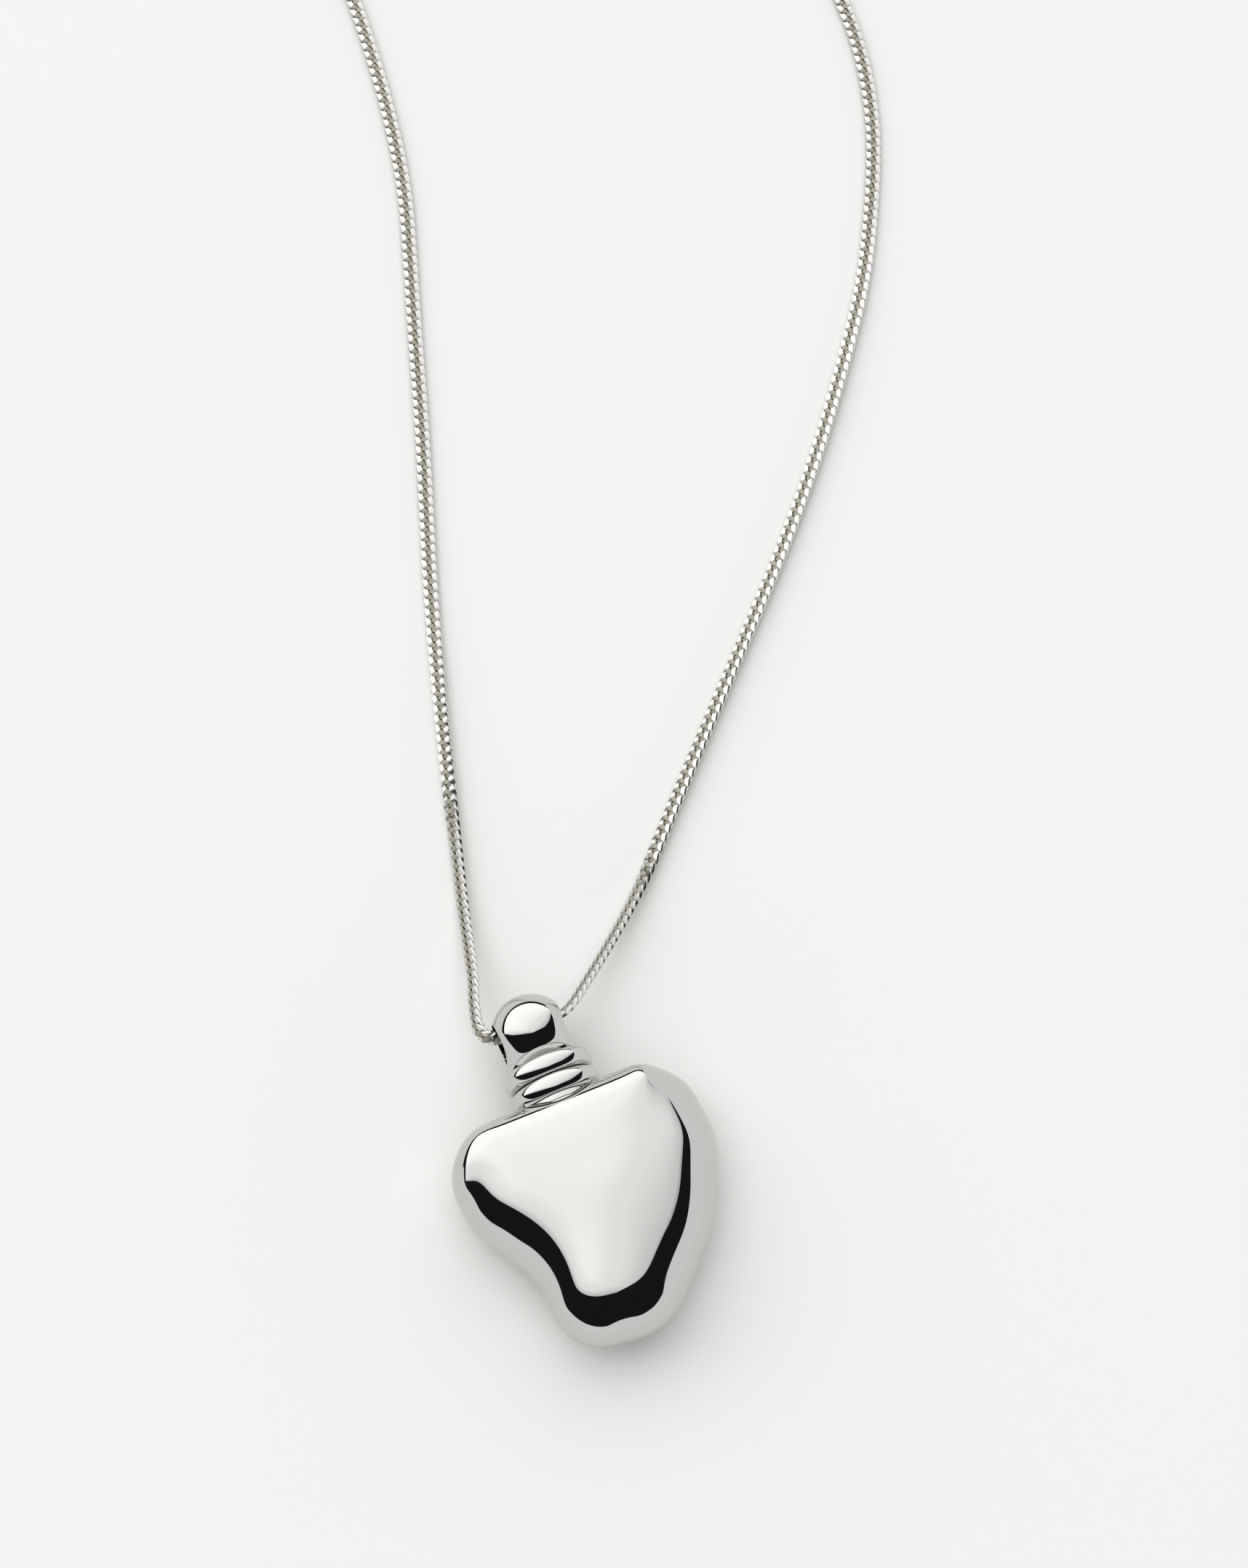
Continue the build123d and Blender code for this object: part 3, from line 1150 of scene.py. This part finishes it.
@dataclass(frozen=True)
class Neck:
    """The flask's own bead and the collar under it, in millimetres.

    Heights are from the groove at the dome's foot.

    Attributes:
        bore_r: inner radius of both, wide enough for the washer to pass.
        bead_r: the bead's radius.
        bead_round: how far its round stands out.
        bead_mid: height of its middle.
        bead_half: half its thickness.
        bead_foot: height of its lower end.
        bead_top: height of its upper end, where the stopper parts from it.
        seat_r: the collar's radius.
        seat_foot: height of its lower end, inside the flask's shoulder.
        seat_top: height of its upper end, inside the bead.
        step: how far the collar steps in.
        step_from: height where the step starts.
        step_to: height where it ends.
    """

    bore_r: float = 2.6
    bead_r: float = 4.05
    bead_round: float = 0.58
    bead_mid: float = -2.9
    bead_half: float = 0.9
    bead_foot: float = -3.8
    bead_top: float = -2.0
    seat_r: float = 3.5
    seat_foot: float = -5.4
    seat_top: float = -3.75
    step: float = 0.12
    step_from: float = -4.35
    step_to: float = -4.25

    def build(self, finish: bpy.types.Material) -> None:
        """Builds the neck's visible pieces.

        Args:
            finish: their finish.
        """
        bead = (
            (self.bore_r, self.bead_foot),
            *arc(
                (self.bead_r - self.bead_round, self.bead_mid),
                (self.bead_round, self.bead_half),
                -90,
                90,
                ARC_STEPS,
            ),
            (self.bore_r, self.bead_top),
        )
        ring = TurnedPart("neck_bead_ring", (*bead, bead[0]), flatness=BEAD_FLATNESS)
        ring.make(finish, "flask", "neck_bead", 50)
        inner_r = self.seat_r - self.step
        collar = (
            (self.bore_r, self.seat_foot),
            (self.seat_r, self.seat_foot),
            (self.seat_r, self.step_from),
            (inner_r, self.step_to),
            (inner_r, self.seat_top),
            (self.bore_r, self.seat_top),
        )
        seat = TurnedPart("neck_collar", (*collar, collar[0]), flatness=BEAD_FLATNESS)
        seat.make(finish, "flask", "neck_seat", 30)


# ---------------------------------------------------------------- flask


@dataclass(frozen=True)
class Flask:
    """The flask's pebble body, in millimetres.

    Attributes:
        corners_mm: the body's outline where it is widest, as corners and the radius that rounds each.
        points: how many points the outline's cage has.
        equator_z: height of the widest line.
        shift: how far the outline is moved right and up.
        insets: how far in each ring of the mesh lies.
        tight: pairs of outward direction, in degrees, and how tight the shoulder is there: 1 for the
            top edge, 0 for the plain round edge, and a little under 0 for a slacker one.
        falloff: power with which the outline's pull on the depth fades.
        samples: points of the outline that the depth is read from.
        soft_from: depth where the plain distance starts to give way to the smoothed one.
        soft_over: depth over which it does.
        corner_steps: steps round each corner of the outline.
        heading_mm: half the stretch over which the outline's direction is read.
        edge_run: how far in the plain edge reaches.
        edge_rise: how high it rises there.
        edge_power: its roundness.
        crown_slope: the front's slope past the edge.
        crown_rise: height of the curve that eases the edge into the slope.
        crown_run: how far in that curve reaches.
        shoulder_run: how far in the tight shoulder reaches.
        lip_rise: height of its steep first step.
        lip_run: how far in that step reaches.
        shoulder_across: width of the arch that it follows.
        shoulder_slope: the front's slope past it.
        shoulder_crown: height of the curve that eases it into the slope.
        back_run: how far in the back's edge reaches.
        back_rise: how deep it drops there.
        back_power: its roundness.
        back_crown: how much deeper the back's middle lies.
        back_crown_run: how far in it gets there.
    """

    corners_mm: tuple[Point, ...] = (
        (-12.0, 6.25, 5.0),
        (-11.15, -2.3, 6.5),
        (-7.6, -8.1, 8.0),
        (-7.55, -15.4, 4.5),
        (1.4, -16.35, 6.0),
        (8.8, -8.85, 16.0),
        (11.6, -2.2, 7.5),
        (10.85, 6.25, 4.8),
    )
    points: int = 56
    equator_z: float = 3.8
    shift: Pair = (0.05, 0.1)
    insets: tuple[float, ...] = (0.03, 0.15, 0.5, 1.2, 2.4, 3.9)
    tight: tuple[Pair, ...] = (
        (-180.0, 0.0),
        (-60.0, 0.0),
        (15.0, -0.3),
        (40.0, -0.25),
        (80.0, 1.0),
        (105.0, 1.0),
        (170.0, 0.0),
    )
    falloff: float = 6.0
    samples: int = 480
    soft_from: float = 0.5
    soft_over: float = 1.2
    corner_steps: int = 24
    heading_mm: float = 0.8
    edge_run: float = 2.4
    edge_rise: float = 3.19
    edge_power: float = 0.48
    crown_slope: float = 0.22
    crown_rise: float = 0.3135
    crown_run: float = 0.75
    shoulder_run: float = 2.2
    lip_rise: float = 1.12
    lip_run: float = 0.06
    shoulder_across: float = 6.08
    shoulder_slope: float = 0.06
    shoulder_crown: float = 0.228
    back_run: float = 3.2
    back_rise: float = 3.42
    back_power: float = 0.55
    back_crown: float = 0.32
    back_crown_run: float = 2.5

    def front_rise(self, depth: np.ndarray) -> np.ndarray:
        """Height of the front over the widest line, rounded like a pebble's edge.

        Args:
            depth: distance in from the outline, in millimetres.

        Returns:
            Heights in millimetres.
        """
        past = np.maximum(depth - self.edge_run, 0)
        edge = self.edge_rise * (np.minimum(depth, self.edge_run) / self.edge_run) ** self.edge_power
        return edge + self.crown_slope * past + self.crown_rise * (1 - np.exp(-past / self.crown_run))

    def shoulder_rise(self, depth: np.ndarray) -> np.ndarray:
        """Height of the front along the top edge, where the shoulder is tight.

        Args:
            depth: distance in from the outline, in millimetres.

        Returns:
            Heights in millimetres.
        """
        past = np.maximum(depth - self.shoulder_run, 0)
        near = np.minimum(depth, self.shoulder_run)
        lip = self.lip_rise * (1 - np.exp(-near / self.lip_run))
        edge = lip + np.sqrt(self.shoulder_across * near - near**2)
        return edge + self.shoulder_slope * past + self.shoulder_crown * (1 - np.exp(-past))

    def back_drop(self, depth: np.ndarray) -> np.ndarray:
        """Depth of the back under the widest line: rounder at the edge and nearly flat inside.

        Args:
            depth: distance in from the outline, in millimetres.

        Returns:
            Depths in millimetres.
        """
        past = np.maximum(depth - self.back_run, 0)
        quarter = np.minimum(depth, self.back_run) / self.back_run * np.pi / 2
        edge = self.back_rise * np.sin(quarter) ** self.back_power
        return edge + self.back_crown * (1 - np.exp(-past / self.back_crown_run))

    def fine_outline(self) -> list[Vector]:
        """The rounded outline as many points, counter-clockwise.

        Returns:
            Points on the table plane, in millimetres.
        """
        corners = [Vector((x, y)) for x, y, _ in self.corners_mm]
        line: list[Vector] = []
        for i, (x, y, radius) in enumerate(self.corners_mm):
            here = corners[i]
            before = (corners[i - 1] - here).normalized()
            after = (corners[(i + 1) % len(corners)] - here).normalized()
            half = before.angle(after) / 2
            reach = radius / math.tan(half)
            centre = here + (before + after).normalized() * (radius / math.sin(half))
            start, stop = here + before * reach - centre, here + after * reach - centre
            sweep = start.angle_signed(stop)
            for step in range(self.corner_steps + 1):
                turned = start.copy()
                turned.rotate(Matrix.Rotation(-sweep * step / self.corner_steps, 2))
                line.append(centre + turned)
        return line

    def depths(self, flat: np.ndarray) -> tuple[np.ndarray, np.ndarray]:
        """How far in each point lies and how tight its shoulder is, both changing smoothly.

        Args:
            flat: points on the table plane, in millimetres.

        Returns:
            Depth in millimetres, and tightness.
        """
        line, outward = self.even_outline(self.samples)
        angles = np.degrees(np.arctan2(outward[:, 1], outward[:, 0]))
        tight = np.array([ChainStrand.between(self.tight, float(angle)) for angle in angles])
        step = np.linalg.norm(np.roll(line, -1, axis=0) - line, axis=1)
        gap = flat[:, None, :] - line[None, :, :]
        away = np.maximum(np.linalg.norm(gap, axis=2), 1e-6)
        nearest = away.argmin(axis=1)
        straight = np.abs(np.einsum("ij,ij->i", gap[np.arange(len(flat)), nearest], outward[nearest]))
        pull = away ** (-self.falloff) * step
        # A long straight edge pulls on a point beside it by this much, times its depth's power.
        norm = math.sqrt(math.pi) * math.gamma((self.falloff - 1) / 2) / math.gamma(self.falloff / 2)
        soft = (pull.sum(axis=1) / norm) ** (-1 / (self.falloff - 1))
        share = np.clip((straight - self.soft_from) / self.soft_over, 0, 1)
        share = share * share * (3 - 2 * share)
        return straight + (soft - straight) * share, (pull * tight).sum(axis=1) / pull.sum(axis=1)

    def sheet(self, name: str) -> bpy.types.Object:
        """A flat sheet that fills the outline: rings round the edge and a grid inside.

        Args:
            name: the sheet's name.

        Returns:
            The sheet.
        """
        line, outward = self.even_outline(self.points)
        bend = np.roll(line, 1, axis=0) + np.roll(line, -1, axis=0) - 2 * line
        line = line - bend / 6  # subdivision draws the cage in by this much
        rings = [line - outward * inset for inset in (0.0, *self.insets)]
        count = self.points
        verts = [(x * MM, y * MM, 0.0) for ring in rings for x, y in ring]
        faces = [
            (
                k * count + i,
                k * count + (i + 1) % count,
                (k + 1) * count + (i + 1) % count,
                (k + 1) * count + i,
            )
            for k in range(len(rings) - 1)
            for i in range(count)
        ]
        mesh = bpy.data.meshes.new(name)
        mesh.from_pydata(verts, [], faces)
        sheet = bpy.data.objects.new(name, mesh)
        bpy.context.scene.collection.objects.link(sheet)
        pick(sheet)
        bpy.ops.object.mode_set(mode="EDIT")
        bpy.ops.mesh.select_mode(type="EDGE")
        bpy.ops.mesh.select_all(action="DESELECT")
        bpy.ops.object.mode_set(mode="OBJECT")
        last = range((len(rings) - 1) * count, len(rings) * count)
        for edge in mesh.edges:
            edge.select = edge.vertices[0] in last and edge.vertices[1] in last
        bpy.ops.object.mode_set(mode="EDIT")
        bpy.ops.mesh.fill_grid(span=count // 4, offset=count // 14)
        bpy.ops.object.mode_set(mode="OBJECT")
        self.relax(mesh, len(verts))
        smooth = sheet.modifiers.new("smooth", "SUBSURF")
        smooth.levels = smooth.render_levels = 2
        bpy.ops.object.modifier_apply(modifier="smooth")
        return sheet

    @staticmethod
    def relax(mesh: bpy.types.Mesh, first: int) -> None:
        """Spaces the grid's inner points evenly between their neighbours.

        Args:
            mesh: the sheet's mesh.
            first: number of the first inner point.
        """
        inner = len(mesh.vertices) - first
        spread, held, counts = np.eye(inner), np.zeros((inner, 2)), np.zeros(inner)
        for edge in mesh.edges:
            for a, b in (tuple(edge.vertices), tuple(edge.vertices)[::-1]):
                if a >= first:
                    counts[a - first] += 1
        for edge in mesh.edges:
            for a, b in (tuple(edge.vertices), tuple(edge.vertices)[::-1]):
                if a >= first and b >= first:
                    spread[a - first, b - first] -= 1 / counts[a - first]
                elif a >= first:
                    held[a - first] += np.array(mesh.vertices[b].co.xy) / counts[a - first]
        for i, (x, y) in enumerate(np.linalg.solve(spread, held)):
            mesh.vertices[first + i].co = (x, y, 0.0)

    def even_outline(self, count: int) -> tuple[np.ndarray, np.ndarray]:
        """Evenly spaced points on the outline and the outward directions there.

        Args:
            count: how many.

        Returns:
            Points in millimetres, and unit directions.
        """
        line = self.fine_outline()
        line.append(line[0])
        corners = np.array(line) + np.array(self.shift)
        reach = np.concatenate(([0.0], np.cumsum(np.linalg.norm(np.diff(corners, axis=0), axis=1))))

        def at(places: np.ndarray) -> np.ndarray:
            """The outline's points at distances along it."""
            places = places % reach[-1]
            return np.stack([np.interp(places, reach, corners[:, k]) for k in (0, 1)], axis=1)

        places = reach[-1] * np.arange(count) / count
        along = at(places + self.heading_mm) - at(places - self.heading_mm)
        along /= np.linalg.norm(along, axis=1)[:, None]
        return at(places), np.stack([along[:, 1], -along[:, 0]], axis=1)

    def build(self, finish: bpy.types.Material) -> bpy.types.Object:
        """Builds the body from a front and a back sheet, bulged and joined at the widest line.

        Args:
            finish: its finish.

        Returns:
            The body.
        """
        sheets = [self.sheet("flask_front_skin"), self.sheet("flask_back_skin")]
        for sheet, upper in zip(sheets, (True, False)):
            mesh = sheet.data
            flat = np.array([vertex.co.xy for vertex in mesh.vertices]) / MM
            depth, tight = self.depths(flat)
            if upper:
                rise = self.front_rise(depth) * (1 - tight) + self.shoulder_rise(depth) * tight
            else:
                rise = -self.back_drop(depth)
            uses = np.zeros(len(mesh.edges), dtype=int)
            for loop in mesh.loops:
                uses[loop.edge_index] += 1
            for index in np.flatnonzero(uses == 1):
                rise[list(mesh.edges[index].vertices)] = 0.0
            for vertex, height in zip(mesh.vertices, rise):
                vertex.co.z = (self.equator_z + float(height)) * MM
        clear_selection()
        for sheet in sheets:
            sheet.select_set(True)
        bpy.context.view_layer.objects.active = sheets[0]
        bpy.ops.object.join()
        body = bpy.context.object
        pick(body)
        bpy.ops.object.mode_set(mode="EDIT")
        bpy.ops.mesh.select_all(action="SELECT")
        bpy.ops.mesh.remove_doubles(threshold=SEAM)
        bpy.ops.mesh.normals_make_consistent(inside=False)
        bpy.ops.object.mode_set(mode="OBJECT")
        smooth = body.modifiers.new("smooth", "SUBSURF")
        smooth.levels = smooth.render_levels = 1
        bpy.ops.object.modifier_apply(modifier="smooth")
        settle(body, "flask_body", 80)
        dress(body, finish, "flask")
        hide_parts("flask_front", "flask_back")
        return body


# ---------------------------------------------------------------- findings


@dataclass(frozen=True)
class Findings:
    """What holds the necklace closed: rings, clasp, extender and tag, as the CAD made them.

    Attributes:
        silver_nodes: the CAD nodes in silver.
    """

    silver_nodes: tuple[str, ...] = (
        "end_ring_left",
        "end_ring_right",
        "clasp_ring",
        "clasp_body",
        "clasp_lever",
        "clasp_pin",
        "extender_first_link",
        "extender_links",
        "tag_ring",
        "tag",
    )

    def build(
        self,
        nodes: dict[str, bpy.types.Object],
        finish: bpy.types.Material,
        spring: bpy.types.Material,
    ) -> None:
        """Dresses the findings.

        Args:
            nodes: the CAD nodes by name.
            finish: finish of the silver findings.
            spring: finish of the spring.
        """
        for name in self.silver_nodes:
            dress(nodes[name], finish)
        dress(nodes["clasp_spring"], spring)


LEFT_ROUTE: tuple[Point, ...] = (
    (0.19, 13.6, 4.2),
    (-1.4, 13.5, 4.2),
    (-3.0, 13.3, 4.2),
    (-4.05, 14.5, 4.15),
    (-3.4, 17.2, 3.5),
    (-2.5, 19.6, 2.75),
    (-1.8, 22.3, 1.95),
    (-0.8, 26.3, 1.05),
    (0.35, 30.4, 0.6),
    (2.3, 37.5, 0.40),
    (5.7, 49.1, 0.40),
    (8.1, 56.7, 0.40),
    (10.7, 64.3, 0.40),
    (13.3, 71.9, 0.40),
    (15.7, 79.5, 0.40),
    (18.2, 87.1, 0.40),
    (20.7, 94.7, 0.40),
    (22.3, 102.6, 0.40),
    (23.3, 110.5, 0.40),
    (24.0, 119.5, 0.40),
    (22.0, 135.0, 0.40),
    (17.9, 150.0, 0.40),
    (15.9, 165.0, 0.40),
    (18.4, 178.0, 0.40),
    (25.2, 187.2, 0.8),
    (34.0, 190.5, 1.8),
)

RIGHT_ROUTE: tuple[Point, ...] = (
    (0.19, 13.6, 4.2),
    (1.78, 13.5, 4.2),
    (3.3, 13.2, 4.2),
    (4.7, 13.9, 3.95),
    (6.5, 15.4, 3.2),
    (9.0, 17.5, 2.2),
    (12.7, 20.7, 1.1),
    (16.0, 23.9, 0.6),
    (18.7, 26.8, 0.42),
    (28.3, 36.6, 0.40),
    (36.7, 45.1, 0.40),
    (42.2, 51.0, 0.40),
    (47.4, 57.1, 0.40),
    (52.3, 63.4, 0.40),
    (57.0, 69.9, 0.40),
    (60.9, 77.0, 0.40),
    (64.3, 84.2, 0.40),
    (66.4, 91.9, 0.40),
    (67.0, 99.0, 0.40),
    (67.2, 112.5, 0.40),
    (70.6, 127.5, 0.40),
    (75.6, 142.5, 0.40),
    (77.4, 158.0, 0.40),
    (73.9, 172.5, 0.40),
    (66.4, 183.4, 0.40),
    (56.6, 189.6, 0.8),
    (47.5, 190.5, 1.8),
)


def corners() -> list[list[float]]:
    """The shown object's lowest and highest corner, as plain lists."""
    low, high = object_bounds()
    return [[float(x) for x in low], [float(x) for x in high]]


def main() -> None:
    """Builds the scene in order: studio, chain, stopper, flask, findings."""
    logging.basicConfig(level=logging.INFO, format="%(name)s: %(message)s")
    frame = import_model()
    nodes = frame["nodes"]
    # Plated silver, wheel-polished: a clear mirror with sharp dark and bright bands.
    polished = PolishedMetal("rhodium_plated_silver_polished").make()
    # Plated silver, filed flat: bright lobes that flash white and blur what they mirror.
    filed = WorkedMetal("rhodium_plated_silver_filed", "#D8D7D4", "#C9C8C5", 0.16, 0.1, 0.05).make()
    # Silver between the lobes: a dull finish, with painted shade that darkens it to a warm grey in the
    # gaps between the lobes.
    recess = WorkedMetal("silver_painted_shade_in_recess", "#B4B2A6", "#949287", 0.55, 0.08, 0.2).make()
    # Plated silver, tumbled: softly shining findings without a crisp mirror.
    tumbled = WorkedMetal("rhodium_plated_silver_tumbled", "#D0CFCC", "#C0BFBC", 0.12, 0.3, 0.05).make()
    # Spring steel, drawn: a cooler, greyer metal than the silver round it.
    spring = WorkedMetal("spring_steel_drawn", "#B9BABC", "#9C9D9F", 0.25, 0.1, 0.1).make()
    # Nitrile rubber, moulded: a near-black ring that hardly shines.
    rubber = MouldedRubber().make()

    Studio().build()
    ChainStrand(
        name="chain_left_links",
        route_mm=LEFT_ROUTE,
        rolls=((0.0, -60.0), (20.0, -52.0), (34.0, -30.0), (50.0, -8.0), (65.0, 0.0)),
        pitches=((0.0, 0.80), (20.0, 0.82), (30.0, 0.95)),
        node="chain_left",
        on_it=("end_ring_left", "clasp_body", "clasp_lever", "clasp_pin"),
    ).build(filed, recess)
    ChainStrand(
        name="chain_right_links",
        route_mm=RIGHT_ROUTE,
        rolls=((0.0, -60.0), (14.0, -52.0), (24.0, -32.0), (70.0, -24.0), (95.0, 0.0)),
        pitches=((0.0, 0.80), (14.0, 0.82), (22.0, 0.95)),
        node="chain_right",
        on_it=("end_ring_right", "clasp_ring", "extender_first_link", "extender_links", "tag_ring", "tag"),
    ).build(filed, recess)
    Stopper().build(polished)
    Neck().build(polished)
    Flask().build(polished)
    Findings().build(nodes, tumbled, spring)
    for name in ("stopper_stud", "neck_sleeve"):
        dress(nodes[name], polished)
    dress(nodes["seal_washer"], rubber)


if __name__ == "__main__":
    main()
